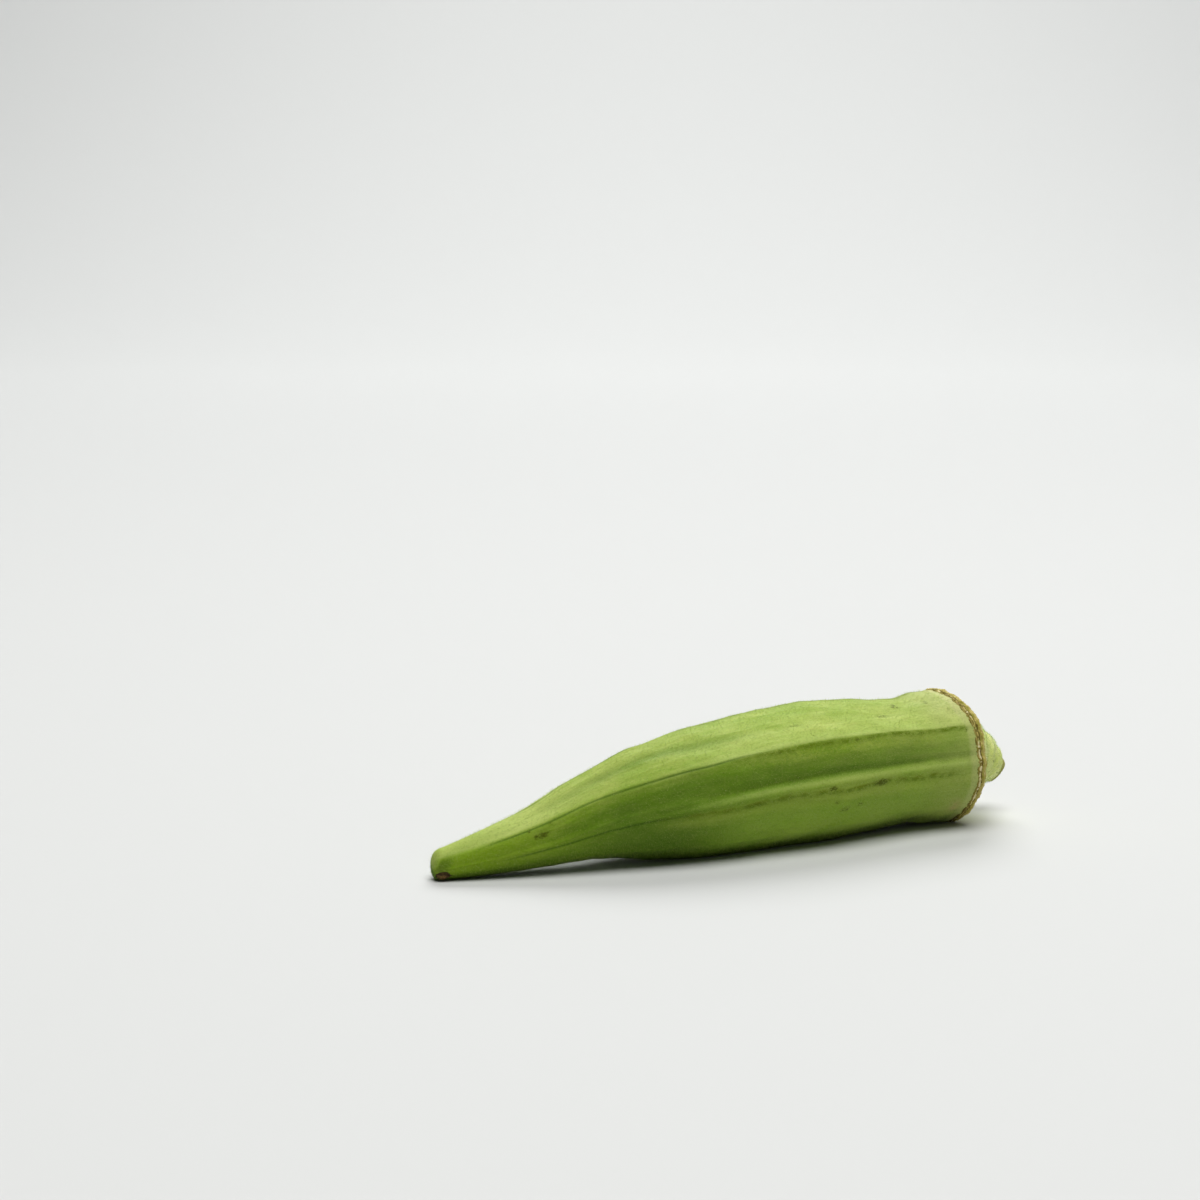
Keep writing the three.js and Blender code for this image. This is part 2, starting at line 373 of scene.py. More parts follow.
pod = {
    "seams": [  # angle, share of the rib's lift, where the line starts, breaks up and ends, strength, dashes
        (37.5, 1, 7, 46, 92, 0.9, 0.1), (-3.5, 0.45, 10, 34, 89, 0.8, 1.0), (-72, 0, 14, 45, 90, 0.7, 0.5),
        (-108, 0, 14, 45, 90, 0.7, 0.5), (-146, 0, 10, 42, 91, 0.8, 0.7), (178, 0, 8, 50, 92, 0.9, 0.4),
        (142, 0, 12, 40, 91, 0.8, 0.6), (106, 0, 12, 40, 92, 0.7, 0.5),
    ],
    "starting": (-4, 4), "breaking": (-6, 10), "ending": (-3, 1), "edgeEnding": (-2, 1),  # round those places
    "seamDepth": 0.09, "seamWidth": 0.17, "dashDepth": 0.5, "dashWidth": 1.6,  # a dash is given as shares
    "seamWander": (0.45, 18, 6, 40),  # degrees, wave, waves added up, first seed
    "dashWaves": (5, 9, 60), "dashGaps": (-0.6, 0.4),
    "weltHeight": 0.04, "weltReach": 0.5, "weltWidth": 0.25, "weltLoss": 0.7,
    "edgeBelow": 0.35, "edgeWidth": 0.5, "edgeSide": (-0.2, 0.05),
    "crowding": 2.2, "crowdReach": 2.2,  # extra columns along a seam, and degrees that they reach
    # crests: angle, strength; each is paler, and its upper side carries a painted highlight
    "crests": [(38, 1.0), (106, 0.7), (142, 0.8), (178, 1.0), (-146, 0.8), (-108, 0.8), (-72, 0.8)],
    "crestReach": 4.0, "crestFoot": 0.25, "crestSide": (-0.8, 0.5),
    "grooveDepth": 0.5, "neckFill": 0.028, "ridgeMerge": 0.6,  # share lost by the ring
    "topFold": [(16, 77), (20, 76), (28, 76.5), (36, 75.5), (46, 65), (60, 58)],  # along, angle
    "topFoldDepth": 0.2, "topFoldReach": 8.0,
    "lowFold": [(45, -4), (52, -6), (63, -13), (76, -19), (90, -24)],
    "lowFoldDepth": 0.2, "lowFoldReach": 4.0, "lowFoldShade": ((-1.5, 1.5), (5, 24)),
    "beakCrease": (-1.05, 0.02, 0.6, 0.3),  # along, its slant, half width, depth
    "creaseAngle": 20, "creaseTurn": 50, "creaseReach": 38, "dimpleReach": 30,
    "dimpleShade": ((-0.6, 0.1), (0.6, 2.4)), "tip": (-0.8, -0.1), "tipTurn": (60, 110),
    "waves": [(0.07, 16, 7, 11), (0.03, 6, 20, 12), (0.012, 26, 80, 13)],  # height, wave, turns, seed
    "shoulderLumps": (0.07, 7, 7, 14),
    "tanPatch": (90.5, -41, 1.0, 1.5),  # along, angle, half length, half width
    "marks": [  # along, angle on the section, half length, half width, strength
        (14.6, 31, 1.3, 0.5, 0.9), (13.1, 46, 0.35, 0.3, 0.7), (16.4, 44, 0.35, 0.3, 0.7),
        (19.3, 20, 0.4, 0.3, 0.35), (63.1, -2.6, 0.7, 0.4, 1.2), (73, -3.6, 1.3, 0.55, 1.4),
        (82.2, 79, 0.9, 1.1, 0.6), (77.8, 62, 1.5, 0.6, 0.55), (60, 61, 1.5, 0.5, 0.45),
        (61.5, 44, 0.3, 0.24, 0.9), (88.2, 75.5, 0.35, 0.6, 0.75), (91.5, 33, 0.3, 0.3, 0.8),
        (69, 35, 0.35, 0.2, 0.7), (54, 35, 0.3, 0.2, 0.6), (66, -24, 1.2, 0.7, 0.55),
        (64, -15.5, 0.7, 0.4, 0.45), (69, -21, 0.7, 0.4, 0.6), (45, 57, 1.6, 0.4, 0.3),
        (40, 140, 0.8, 0.3, 0.7), (70, 176, 1.1, 0.3, 0.8), (52, -108, 0.9, 0.3, 0.6),
        (28, 177, 0.6, 0.3, 0.7), (80, 150, 0.7, 0.4, 0.5), (33, -140, 0.5, 0.3, 0.6),
        (60, -125, 0.9, 0.5, 0.35),
    ],
    "bands": {  # angle, and how far the band reaches to each side
        # the furrow is painted shade, the plateau painted light, the ridge a paler crest with a painted
        # highlight, and the groove is cut in and darkened with painted shade
        "ridge": (4.0, 2.4), "groove": (10.0, 4.0), "furrowShade": (20, 12), "plateau": (-9, 6.5),
        "flecks": (30, 5), "belly": (-30, 30),
    },
    "stages": {  # where along the pod a change begins, and where it is complete
        "waves": (0, 25), "lumps": (78, 90), "crests": (20, 50), "ridge": (34, 50), "merging": (74, 93),
        "grooveOut": (60, 84), "furrowShade": (6, 26), "furrowOut": (76, 92), "plateau": (28, 42),
        "neck": (6, 34), "bellyShade": (20, 60), "sharpRib": (22, 38), "offBeak": (0, 3), "litNeck": (1, 15),
        "fresh": (4, 28), "shoulder": (58, 92), "collar": (83, 91), "rim": (91.3, 92.0),
    },
    "stretches": {  # where along the pod it comes in, and where it goes out
        "topFold": ((11, 21), (42, 60)), "lowFold": ((40, 52), (78, 90)), "middle": ((10, 30), (38, 62)),
        "flecks": ((44, 56), (84, 90)), "belly": ((34, 50), (80, 92)), "neckShade": ((4, 18), (36, 52)),
    },
    "facings": {  # how far the skin faces up or down, from none to all of its painted light and shade
        "flankShade": (0.25, 0.85), "lowFlank": (0.1, 0.6), "under": (0.0, 0.55), "neckShade": (0.0, 0.5),
        "bellyShade": (0.78, 0.92), "top": (0.55, 0.9),
    },
    "litEdge": ((-2.5, 2.5), (2, 9)),  # painted light over the strong rib: degrees over it, and what the neck's softness adds
    "litBehind": 140, "litBehindEdge": (-6, 6), "brightOver": (14, 34),
    # shares of the deep green mask: mostly painted shade on the sides, underside, furrow, groove and top
    # fold, with a little deeper tone mid-pod; the belly and plateau take some away
    "deepOf": {
        "middle": 0.15, "flankShade": 0.35, "midFlank": 0.5, "belly": 0.4, "furrowShade": 0.48, "furrowOut": 0.6,
        "plateau": 0.65, "lowFold": 0.42, "groove": 0.9, "grooveOut": 0.5, "topFold": 0.75,
    },
    # amounts: painted shade under the neck and belly and in the beak's dimple; painted light on top, at the
    # beak's end and, from the neck on, over the strong rib; the pale shoulder's and collar's share on the
    # sides, the collar's strength and the rim's
    "neckShade": 0.42, "bellyShade": 0.9, "dimpleShading": 0.7, "litTop": 0.2, "litTip": 0.3, "litStart": 0.35,
    "shoulderSide": 0.67, "collarAmount": 0.55, "collarSide": 0.22, "rimAmount": 0.45,
    "noises": {  # size, scale along the pod, detail, roughness
        "patches": (5, 0.4, 3, 0.55), "blotches": (0.55, 0.5, 3, 0.6), "streaks": (0.8, 0.08, 4, 0.6),
        "grain": (0.28, 0.7, 2), "flecks": (0.45, 0.8, 3, 0.6), "tears": (0.9, 0.6, 3, 0.65),
        "smears": (0.38, 0.7, 3, 0.65), "pebbles": (0.4, 0.6),
    },
    "ranges": {
        "tone": (0.38, 0.62), "blotches": (0.3, 0.6), "flecks": (0.42, 0.6), "tears": (0.4, 0.56),
        "smears": (0.36, 0.6), "marks": (0.06, 0.55), "darkGrain": (0.48, 0.7), "paleGrain": (0.5, 0.3),
    },
    "tints": {  # how strongly each value on the mesh takes its colour
        "deep": 0.85, "fresh": 0.7, "sunlit": 0.8, "belly": 0.5, "under": 0.85, "litBand": 0.4,
        "shoulder": 0.38, "crest": 0.5, "plateau": 0.3, "flecks": 0.35, "collar": 0.95, "tanned": 0.9,
        "edge": 0.95, "seam": 0.9, "dash": 0.95,
    },
    "toneOf": (0.4, 0.6), "uneven": (0.8, 0.45), "smudged": (0.6, 0.3, 0.2), "tanned": (0.5, 0.5),
    "ragged": (0.75, 0.25), "markTint": 0.92, "darkGrain": 0.25, "paleGrain": 0.15,
    "specks": (3.1, 0.055), "speckTint": 0.6,
    "pebbled": (0.05, 0.5), "streaked": (0.06, 0.3),  # depth, strength
    # colours: deep is a darker green that also carries painted shade, under is painted shade, sunlit painted
    # light; light and pale are lighter greens also used for painted light on the plateau, crests and shoulder
    "green": (0.25, 0.385, 0.03, 1), "light": (0.372, 0.47, 0.075, 1), "deep": (0.078, 0.18, 0.004, 1),
    "fresh": (0.235, 0.39, 0.008, 1), "pale": (0.4, 0.49, 0.13, 1), "collar": (0.55, 0.575, 0.225, 1),
    "sunlit": (0.56, 0.668, 0.185, 1), "olive": (0.122, 0.192, 0.004, 1), "under": (0.06, 0.12, 0.004, 1),
    "belly": (0.33, 0.53, 0.052, 1), "fleck": (0.4, 0.48, 0.07, 1), "tan": (0.47, 0.4, 0.15, 1),
    "seam": (0.042, 0.112, 0.001, 1), "dash": (0.16, 0.215, 0.004, 1), "brown": (0.084, 0.108, 0.003, 1),
}


def podColumns():  # closer together along the seams
    fine = np.arange(0, 360, 0.05)
    crowd = np.ones_like(fine)
    for seam in pod["seams"]:
        crowd += pod["crowding"] * hump(angleApart(fine, seam[0]), pod["crowdReach"])
    filled = np.cumsum(crowd) / crowd.sum()
    return np.interp((np.arange(shape["columns"]) + 0.5) / shape["columns"], filled, fine)


def roundPlace(along, place, change):
    return ease(along, place + change[0], place + change[1])


def seamRelief(along, angle, radius):  # a fine incised line beside each rib, with low welts
    relief, lines, dashes, edges = 0, 0, 0, 0
    swing, wanderWave, wanderCount, wanderSeed = pod["seamWander"]
    dashWave, dashCount, dashSeed = pod["dashWaves"]
    dashWidth = pod["dashWidth"] * pod["seamWidth"]
    for number, (place, lift, first, breaks, last, strength, broken) in enumerate(pod["seams"]):
        wander = swing * ripple(along, 0, wanderSeed + number, wanderWave, 0, wanderCount)
        arc = np.radians(angleApart(angle, place + wander + lift * neckLift(along))) * radius
        started = strength * roundPlace(along, first, pod["starting"])
        started = started * (1 - roundPlace(along, last, pod["ending"]))
        past = roundPlace(along, breaks, pod["breaking"])
        patches = ripple(along, 0, dashSeed + number, dashWave, 0, dashCount)
        patches = ease(patches, *pod["dashGaps"])
        line = hump(arc, pod["seamWidth"]) * started * (1 - past)
        dash = hump(arc, dashWidth) * started * past * patches * broken
        welt = hump(np.abs(arc) - pod["weltReach"], pod["weltWidth"])
        welt = welt * started * (1 - pod["weltLoss"] * past)
        cut = pod["seamDepth"] * (line + pod["dashDepth"] * dash)
        relief = relief + pod["weltHeight"] * welt - cut
        lines, dashes = np.maximum(lines, line), np.maximum(dashes, dash)
        edge = hump(arc + pod["edgeBelow"], pod["edgeWidth"])
        edge = edge * ease(-arc, *pod["edgeSide"]) * past
        edges = np.maximum(edges, edge * strength * (1 - roundPlace(along, last, pod["edgeEnding"])))
    return relief, {"seam": lines, "dash": dashes, "edge": edges}


def blotch(along, angle, radius, place, turn, length, width):
    arc = np.radians(angleApart(angle, turn)) * radius
    return np.exp(-((along - place) / length) ** 2 - (arc / width) ** 2)


def podRelief(along, angle, radius):  # fine heights, and the values that the colour follows
    band = {name: hump(angleApart(angle, place), reach) for name, (place, reach) in pod["bands"].items()}
    stage = {name: ease(along, *change) for name, change in pod["stages"].items()}
    stretch = {name: within(along, *ends) for name, ends in pod["stretches"].items()}
    relief, masks = seamRelief(along, angle, radius)
    grown = stage["ridge"]
    merged = 1 - pod["ridgeMerge"] * stage["merging"]
    filled = pod["neckFill"] * radius * (1 - grown)
    relief = relief + band["groove"] * (filled - pod["grooveDepth"] * grown * merged)
    foldAlong, foldAngle = zip(*pod["topFold"])
    fold = hump(angleApart(angle, np.interp(along, foldAlong, foldAngle)), pod["topFoldReach"])
    fold = fold * stretch["topFold"]
    relief = relief - pod["topFoldDepth"] * fold
    lowAlong, lowAngle = zip(*pod["lowFold"])
    belowFold = -angleApart(angle, np.interp(along, lowAlong, lowAngle))
    relief = relief - pod["lowFoldDepth"] * hump(belowFold, pod["lowFoldReach"]) * stretch["lowFold"]
    foldShade = within(belowFold, *pod["lowFoldShade"]) * stretch["lowFold"]
    place, slant, half, depth = pod["beakCrease"]
    offCrease = angleApart(angle, pod["creaseAngle"])
    turned = np.clip(offCrease, -pod["creaseTurn"], pod["creaseTurn"])
    past = along - place - slant * turned
    relief = relief - depth * (hump(past, half) * hump(turned, pod["creaseReach"], 4))
    for height, wave, turns, seed in pod["waves"]:
        relief = relief + height * ripple(along, angle, seed, wave, turns) * stage["waves"]
    height, wave, turns, seed = pod["shoulderLumps"]
    relief = relief + height * (ripple(along, angle, seed, wave, turns) * stage["lumps"])
    # the beak's end, past the crease, is lighter with painted light
    tip = (1 - ease(past, *pod["tip"])) * (1 - ease(np.abs(offCrease), *pod["tipTurn"]))
    # painted shade in the dimple behind the beak's crease
    dimpleShade = within(past, *pod["dimpleShade"]) * hump(turned, pod["dimpleReach"], 4)
    masks.update(podMarks(along, angle, radius, band, stage, stretch))
    masks.update(podShades(along, angle, band, stage, stretch, merged, fold, foldShade, tip, dimpleShade))
    return relief, masks


def podMarks(along, angle, radius, band, stage, stretch):  # pale crests with a painted highlight on their upper side, brown marks and the tan patch
    crests = band["ridge"] * stage["ridge"]
    for place, strength in pod["crests"]:
        above = angleApart(angle, place) * (1 if math.cos(math.radians(place)) > 0 else -1)
        foot = pod["crestFoot"]
        side = foot + (1 - foot) * ease(above, *pod["crestSide"])
        crests = np.maximum(crests, strength * hump(above, pod["crestReach"]) * side * stage["crests"])
    marks = np.zeros(np.broadcast(along, angle).shape)
    for *where, strength in pod["marks"]:
        marks = np.maximum(marks, strength * blotch(along, angle, radius, *where))
    return {
        "crest": crests, "mark": marks, "tanned": blotch(along, angle, radius, *pod["tanPatch"]),
        # the plateau below the middle ridge is painted light
        "plateau": band["plateau"] * stage["plateau"], "belly": band["belly"] * stretch["belly"],
        "flecks": band["flecks"] * stretch["flecks"],
    }


# painted light and shade on the pod's skin, with its deeper mid-pod tone and fresh green neck
def podShades(along, angle, band, stage, stretch, merged, fold, foldShade, tip, dimpleShade):
    deepOf, facings, middle = pod["deepOf"], pod["facings"], stretch["middle"]
    facing = np.cos(np.radians(angle - 90))  # 1 on top, 0 at the sides, -1 below
    # painted shade on the sides and underside, more of it mid-pod, and a little deeper tone mid-pod
    flankShade = 1 - ease(np.abs(facing), *facings["flankShade"]) + ease(-facing, *facings["lowFlank"])
    onFlank = deepOf["flankShade"] + deepOf["midFlank"] * middle
    deep = middle * deepOf["middle"] + np.minimum(flankShade, 1) * onFlank
    # painted shade in the furrow under the strong rib, less on the belly and plateau, more along the low fold
    furrowShade = band["furrowShade"] * stage["furrowShade"] * (1 - deepOf["furrowOut"] * stage["furrowOut"])
    deep = deep * (1 - deepOf["belly"] * band["belly"] * stretch["belly"]) + deepOf["furrowShade"] * furrowShade
    deep = deep * (1 - deepOf["plateau"] * band["plateau"] * stage["plateau"]) + deepOf["lowFold"] * foldShade
    # painted shade in the groove over the middle ridge and along the top fold
    groove = band["groove"] * stage["ridge"] * merged * (1 - deepOf["grooveOut"] * stage["grooveOut"])
    deep = (deep + deepOf["groove"] * groove + deepOf["topFold"] * fold) * stage["offBeak"]
    # painted shade under the neck and under the belly, put in the under colour
    neck, under = 1 - stage["neck"], ease(-facing, *facings["under"])
    shaded = pod["neckShade"] * stretch["neckShade"] * ease(-facing, *facings["neckShade"])
    bellyShade = pod["bellyShade"] * ease(-facing, *facings["bellyShade"]) * stage["bellyShade"]
    shaded = np.maximum(shaded, bellyShade)
    # painted light on top, on the side just over the strong rib but not behind it, and on the beak's end
    top = ease(facing, *facings["top"])
    overRib = angleApart(angle, shape["strongRib"] + neckLift(along))
    soft = 1 - stage["sharpRib"]
    (low, high), (softLow, softHigh) = pod["litEdge"]
    lit = ease(overRib, softLow * soft + low, softHigh * soft + high)
    lit = lit * (1 - ease(angleApart(angle, pod["litBehind"]), *pod["litBehindEdge"]))
    litNeck = pod["litStart"] + (1 - pod["litStart"]) * stage["litNeck"]
    sunlit = np.maximum(top * pod["litTop"] + lit * neck * litNeck, pod["litTip"] * tip * (1 - under))
    # the shoulder and collar are paler near the ring; the extra amount on top is painted light
    side, rimSide = pod["shoulderSide"], pod["collarSide"]
    collar = pod["collarAmount"] * stage["collar"] * (rimSide + (1 - rimSide) * top)
    # the dimple's painted shade darkens it and keeps painted light and fresh green off it
    dimpleShading = pod["dimpleShading"] * dimpleShade
    return {
        "deep": np.clip(deep, 0, 1), "fresh": (1 - stage["fresh"]) * (1 - lit) * (1 - tip) * (1 - dimpleShading),
        "under": np.maximum(np.maximum(neck * under, dimpleShading), shaded), "sunlit": sunlit * (1 - dimpleShade),
        # painted light on the face just over the strong rib
        "litBand": lit * stage["ridge"] * (1 - ease(overRib, *pod["brightOver"])),
        "shoulder": stage["shoulder"] * (side + (1 - side) * top),
        "collar": collar + pod["rimAmount"] * stage["rim"],
    }


def podRadius(along, angles):  # the skin's reach from the middle line, and its values
    onLine = np.maximum(along, 0)  # the beak's dome lies before the middle line
    middleRadius = spineAt(onLine)[2][:, None]
    radius = middleRadius * ribReach(onLine, angles)
    relief, masks = podRelief(along[:, None], angles[None, :], middleRadius)
    return radius + relief, masks


def makePodSkin():
    angles = podColumns()
    dome, lip = shape["domeRows"], shape["lipRows"]
    length, lipLength = shape["length"], shape["lipLength"]
    rows = shape["rows"] - dome - lip
    bend = (np.arange(dome, 0, -1) / (dome + 1)) * math.pi / 2
    roll = np.arange(1, lip + 1) / lip * math.pi / 2
    along = np.concatenate([np.zeros(dome), np.linspace(0, length - lipLength, rows),
                            length - lipLength + lipLength * np.sin(roll)])
    shrink = np.concatenate([np.cos(bend) ** shape["beakBluntness"], np.ones(rows + lip)])
    inward = np.concatenate([np.zeros(dome + rows), shape["lipDrop"] * (1 - np.cos(roll))])
    setBack = np.concatenate([-shape["beakDome"] * np.sin(bend), np.zeros(rows + lip)])
    lean = shape["beakLean"] * (1 - ease(along, 0, shape["leanEnd"]))[:, None]  # more below
    leaning = lean * np.sin(np.radians(angles + shape["neckTwist"]))[None, :] * shrink[:, None]
    radius, masks = podRadius(along + setBack, angles)
    radius = radius * shrink[:, None] - inward[:, None]
    points = skinPoints(spineFrame(along), radius, angles, ribTwist(along), setBack[:, None] + leaning)
    ends = spineFrame(np.array([0.0, length]))
    nose = ends[0][0] - ends[1][0] * shape["beakDome"]
    piece = closedSkin("pod_skin", inFrame(points), inFrame(nose), inFrame(ends[0][1]), masks)
    return dress(piece, podSkinFinish(), "pod_skin", "pod")


def podSkinFinish():
    skin = newMaterial("pod skin", Roughness=0.6, IOR=1.42, Specular_IOR_Level=0.09,
                       Subsurface_Weight=0.1, Subsurface_Scale=0.001, Subsurface_Radius=(0.5, 0.9, 0.2),
                       Sheen_Weight=0.03, Sheen_Roughness=0.45, Sheen_Tint=(0.93, 1.0, 0.7, 1))

    def pattern(name):
        return noise(skin, *pod["noises"][name])

    def cut(value, name):
        return between(skin, value, *pod["ranges"][name])

    def share(name):
        return times(skin, meshValue(skin, name), pod["tints"][name])

    patches, streaks, grain = pattern("patches"), pattern("streaks"), pattern("grain")
    blotched = cut(pattern("blotches"), "blotches")
    tone = timesPlus(skin, streaks, pod["toneOf"][0], times(skin, patches, pod["toneOf"][1]))
    uneven = timesPlus(skin, patches, *pod["uneven"])
    torn, smudge, rest = pod["smudged"]
    smudged = timesPlus(skin, cut(pattern("tears"), "tears"), torn, timesPlus(skin, blotched, smudge, rest))
    smeared = timesPlus(skin, cut(pattern("smears"), "smears"), *pod["ragged"])
    ragged = times(skin, meshValue(skin, "mark"), smeared)
    # the deep, under, sunlit and litBand layers are painted shade and light; shoulder, crest, plateau and
    # collar are partly painted light
    colour = layered(skin, pod, "green", [
        (cut(tone, "tone"), "light"),
        (times(skin, share("deep"), uneven, clamp=True), "deep"),
        (share("fresh"), "fresh"), (share("sunlit"), "sunlit"), (share("belly"), "belly"),
        (share("under"), "under"), (share("litBand"), "sunlit"),
        (times(skin, share("shoulder"), uneven, clamp=True), "pale"),
        (share("crest"), "pale"), (share("plateau"), "light"),
        (times(skin, share("flecks"), cut(pattern("flecks"), "flecks")), "fleck"),
        (share("collar"), "collar"),
        (times(skin, share("tanned"), timesPlus(skin, blotched, *pod["tanned"])), "tan"),
        (times(skin, share("edge"), smudged), "olive"),
        (times(skin, cut(grain, "darkGrain"), pod["darkGrain"]), "deep"),
        (times(skin, cut(grain, "paleGrain"), pod["paleGrain"]), "pale"),
        (share("seam"), "seam"), (times(skin, share("dash"), smudged), "dash"),
        (times(skin, spots(skin, *pod["specks"]), pod["speckTint"]), "brown"),
        (times(skin, cut(ragged, "marks"), pod["markTint"]), "brown"),
    ])
    pebbled = bumps(skin, pattern("pebbles"), *pod["pebbled"])
    return paint(skin, colour, bumps(skin, streaks, *pod["streaked"], pebbled))


podPiece = makePodSkin()


cap = {
    "outline": [  # along from the ring scar, radius
        (0.3, 10.35), (1.1, 9.85), (2.4, 8.65), (4, 7.0), (6, 5.75), (8, 4.8), (10, 3.9), (11.3, 3.1),
        (12.05, 2.7),
    ],
    "droop": (0.85, 2.4), "aside": -1.3, "turned": 4.0,  # how far the stalk end bends down and away
    "slopeReach": 1e-3,
    "ribs": 0.45, "ribsEnd": 6.0, "slant": 0.3, "slantFrom": 6.0,
    "waves": [(0.09, 5, 6, 21), (0.04, 2.2, 14, 22), (0.015, 0.8, 40, 23)],
    "wavesIn": 0.8, "wavesOut": 0.6, "scarSide": (0.5, 1.6), "cutSide": 0.7,  # millimetres from either end
    "rows": 110, "columns": 240,
    "broad": (4.5,), "fine": (0.6,), "pebbles": (0.4,), "pebbled": (0.06, 0.5),
    "toneOf": (0.7, 0.3), "toneRange": (0.35, 0.65), "deepRange": (0.55, 0.72), "deepTint": 0.35,
    "specks": (1.7, 0.14), "speckTint": 0.8, "scarTint": 0.55,
    "raggedness": 0.8, "brownedRange": (0.7, 1.2), "brownedTint": 0.5,
    "green": (0.75, 0.85, 0.225, 1), "pale": (0.86, 0.89, 0.39, 1), "deep": (0.47, 0.6, 0.1, 1),
    "speck": (0.06, 0.06, 0.015, 1), "browned": (0.2, 0.11, 0.035, 1), "scar": (0.24, 0.2, 0.04, 1),
}


def capFrame(along):  # the cap's own middle line, bending down to the stalk
    end = spineFrame(np.full(len(along), shape["length"]))
    share = (along / cap["outline"][-1][0])[:, None]
    down, further = cap["droop"]

    def place(t):
        bend = end[2] * cap["aside"] * t ** 2 - end[3] * (down * t + further * t ** 2)
        return end[0] + end[1] * t * cap["outline"][-1][0] + bend

    heading = unit(place(share + cap["slopeReach"]) - place(share - cap["slopeReach"]))
    turned = ease(along, cap["outline"][0][0], cap["turned"])[:, None]
    forward = unit(end[1] + (heading - end[1]) * turned)
    side = unit(np.cross(forward, end[3]))
    return place(share), forward, side, np.cross(side, forward)


def makeCapSkin():
    angles = evenAngles(cap["columns"])
    first, last = cap["outline"][0][0], cap["outline"][-1][0]
    along = np.linspace(first, last, cap["rows"])
    fade = within(along, (first, first + cap["wavesIn"]), (last - cap["wavesOut"], last))
    relief = ripples(along[:, None], angles[None, :], cap["waves"]) * fade[:, None]
    ends = capFrame(np.array([first, last]))[0]
    low, high = cap["scarSide"]
    masks = {
        "scarSide": 1 - ease(along, first + low, first + high)[:, None],
        "cutSide": ease(along, last - cap["cutSide"], last)[:, None],
    }
    share = cap["ribs"] * (1 - ease(along, 0, cap["ribsEnd"]))[:, None]
    radius = throughPoints(*zip(*cap["outline"]), along)[:, None]
    radius = radius * (1 + share * (sectionReach(angles)[None, :] - 1)) + relief
    slant = cap["slant"] * ease(along, cap["slantFrom"], last)[:, None]
    leaning = slant * np.sin(np.radians(angles))[None, :]
    points = skinPoints(capFrame(along), radius, angles, np.zeros(len(along)), leaning)
    piece = closedSkin("cap_skin", inFrame(points), inFrame(ends[0]), inFrame(ends[1]), masks)
    return dress(piece, capSkinFinish(), "cap_skin", "stalk_cap")


def capSkinFinish():
    skin = newMaterial("cap skin", Roughness=0.55, IOR=1.42, Specular_IOR_Level=0.25,
                       Subsurface_Weight=0.12, Subsurface_Scale=0.0012, Subsurface_Radius=(0.5, 0.9, 0.2),
                       Sheen_Weight=0.06, Sheen_Roughness=0.45, Sheen_Tint=(0.95, 1.0, 0.85, 1))
    broad, fine = noise(skin, *cap["broad"]), noise(skin, *cap["fine"])
    tone = timesPlus(skin, broad, cap["toneOf"][0], times(skin, fine, cap["toneOf"][1]))
    ragged = timesPlus(skin, fine, cap["raggedness"], meshValue(skin, "cutSide"))
    colour = layered(skin, cap, "green", [
        (between(skin, tone, *cap["toneRange"]), "pale"),
        (times(skin, between(skin, broad, *cap["deepRange"]), cap["deepTint"]), "deep"),
        (times(skin, spots(skin, *cap["specks"]), cap["speckTint"]), "speck"),
        (times(skin, meshValue(skin, "scarSide"), cap["scarTint"]), "scar"),
        (times(skin, between(skin, ragged, *cap["brownedRange"]), cap["brownedTint"]), "browned"),
    ])
    return paint(skin, colour, bumps(skin, noise(skin, *cap["pebbles"]), *cap["pebbled"]))


capPiece = makeCapSkin()


ring = {
    "profile": [  # along from the pod's end, lift over its skin
        (-1.35, -0.25), (-1.22, -0.02), (-1.08, 0.05), (-0.82, 0.14), (-0.58, 0.12), (-0.4, -0.01),
        (-0.2, 0.09), (0.12, 0.14), (0.42, 0.07), (0.62, -0.1), (0.85, -0.9), (0.3, -1.3), (-0.6, -1.3),
    ],
    "beads": (-0.72, 0.21), "band": (0.22, 0.28),  # where each pale band runs, and its half width
    "line": (-0.38, 0.09),  # the dark line between them
    "rows": 60, "columns": 720, "buried": (-0.8, 0),
    "wander": (0.06, 1, 22, 34),  # how far its edges stray along the pod, wave, turns, seed
    "lumps": [(0.055, 1.6, 46, 31), (0.05, 0.6, 130, 32), (0.02, 0.3, 300, 33)], "lumpWaves": 24,
    "podEdgeShadow": (-1.2, -0.98, 0.4),  # where its painted shadow on the pod side starts and ends, and widens below
    "edgeTop": 0.35, "edgeTurn": 8, "edgeFacing": (0.1, 0.7), "edgeTint": (0.6, 0.4),
    "grain": (0.3, 1, 3, 0.6), "mottling": (0.9, 1, 3, 0.6), "gaps": (0.9, 0.5, 3, 0.7), "wear": (4.0, 1, 2),
    "mottlingRange": (0.35, 0.65), "gapsRange": (0.38, 0.52), "wearRange": (0.62, 0.42),
    "wornGaps": (0.5, 0.5), "raggedness": (0.5, -0.25),
    "tanBand": (0.5, 1.0), "creamBand": (0.85, 1.1), "tanBeads": (0.3, 0.5),
    "creamBeads": (0.55, 0.8), "darkLine": (0.35, 0.7), "beadShade": (0.05, 0.3), "beadShadeTint": 0.8,
    "grained": (0.06, 0.6),
    "cream": (0.8, 0.73, 0.41, 1), "tan": (0.56, 0.46, 0.125, 1), "brown": (0.135, 0.102, 0.009, 1),
    "olive": (0.32, 0.3, 0.035, 1),
}


